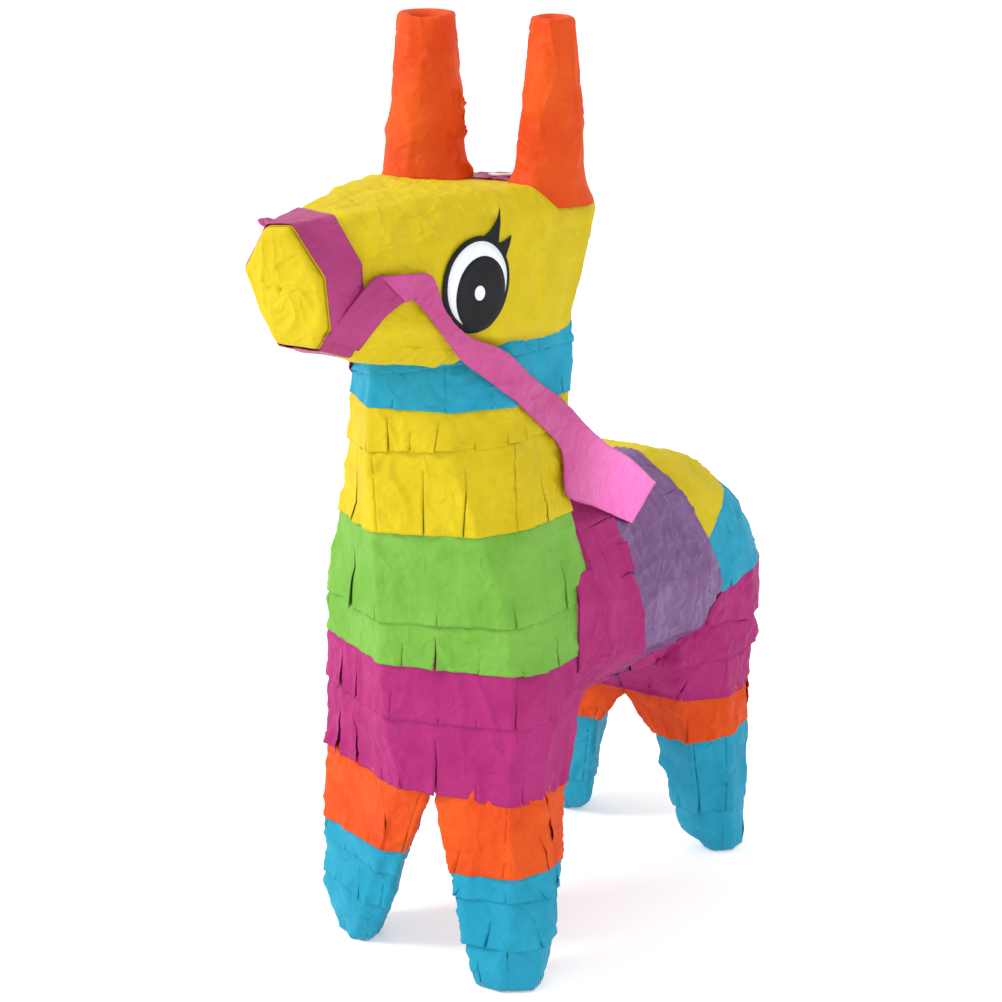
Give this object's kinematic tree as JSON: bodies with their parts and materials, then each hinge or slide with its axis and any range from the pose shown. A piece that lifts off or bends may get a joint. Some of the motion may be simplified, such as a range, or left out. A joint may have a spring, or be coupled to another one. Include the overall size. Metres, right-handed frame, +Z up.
{
  "type": "pinata",
  "caption": "Small donkey pinata: a folded card core covered with strips of coloured tissue paper, with paper ribbon bridle, sticker eyes and a fill flap in one flank.",
  "frame": {"origin": "on the floor, under the middle of the whole animal", "axes": "+Z up, the animal faces -Y, +X to its left"},
  "size_m": [0.0558, 0.1466, 0.19],
  "materials": {
    "card": "plain corrugated card",
    "tissue_yellow": "matte tissue paper, slightly crinkled",
    "tissue_magenta": "matte tissue paper, slightly crinkled",
    "tissue_turquoise": "matte tissue paper, slightly crinkled",
    "tissue_green": "matte tissue paper, slightly crinkled",
    "tissue_purple": "matte tissue paper, slightly crinkled",
    "tissue_orange": "matte tissue paper, slightly crinkled",
    "ribbon": "smooth crepe ribbon, slight sheen",
    "sticker": "glossy printed paper",
    "patch": "matte white paper"
  },
  "bodies": {
    "body": {"neck_card": "card", "trunk_card": "card", "hip_card": "card", "head_card": "card", "muzzle_end_card": "card", "leg_card_front_left": "card", "leg_card_front_right": "card", "leg_card_rear_left": "card", "leg_card_rear_right": "card", "ear_card_left": "card", "ear_card_right": "card", "muzzle_tissue": "tissue_yellow", "head_tissue": "tissue_yellow", "neck_strip_yellow_upper": "tissue_yellow", "neck_strip_yellow_lower": "tissue_yellow", "rump_strip_yellow": "tissue_yellow", "chest_strip_magenta_upper": "tissue_magenta", "chest_strip_magenta_lower": "tissue_magenta", "trunk_strip_magenta_front": "tissue_magenta", "trunk_strip_magenta_rear": "tissue_magenta", "hip_strip_magenta_upper": "tissue_magenta", "hip_strip_magenta_lower": "tissue_magenta", "neck_strip_turquoise_upper": "tissue_turquoise", "neck_strip_turquoise_lower": "tissue_turquoise", "rump_strip_turquoise_upper": "tissue_turquoise", "rump_strip_turquoise_lower": "tissue_turquoise", "chest_strip_green_upper": "tissue_green", "chest_strip_green_lower": "tissue_green", "trunk_strip_purple": "tissue_purple", "leg_orange_front_left": "tissue_orange", "leg_orange_rear_left": "tissue_orange", "leg_turquoise_upper_front_left": "tissue_turquoise", "leg_turquoise_middle_front_left": "tissue_turquoise", "leg_turquoise_foot_front_left": "tissue_turquoise", "leg_turquoise_rear_left": "tissue_turquoise", "leg_turquoise_foot_rear_left": "tissue_turquoise", "eye_sticker_left": "sticker", "rein_left": "ribbon", "leg_orange_front_right": "tissue_orange", "leg_orange_rear_right": "tissue_orange", "leg_turquoise_upper_front_right": "tissue_turquoise", "leg_turquoise_middle_front_right": "tissue_turquoise", "leg_turquoise_foot_front_right": "tissue_turquoise", "leg_turquoise_rear_right": "tissue_turquoise", "leg_turquoise_foot_rear_right": "tissue_turquoise", "eye_sticker_right": "sticker", "rein_right": "ribbon", "ear_tissue_left": "tissue_orange", "ear_tissue_right": "tissue_orange", "muzzle_band": "ribbon", "crown_strip": "ribbon", "hanger_patch": "patch"},
    "fill_flap": {"flap_card": "card", "flap_tissue": "tissue_purple"}
  },
  "joints": [
    {"name": "fill_flap_hinge", "type": "hinge", "parent": "body", "child": "fill_flap", "pos_m": [-0.01846, 0.02385, 0.084], "axis": [-0.046, 0.9989, 0], "range_deg": [0, 100]}
  ]
}
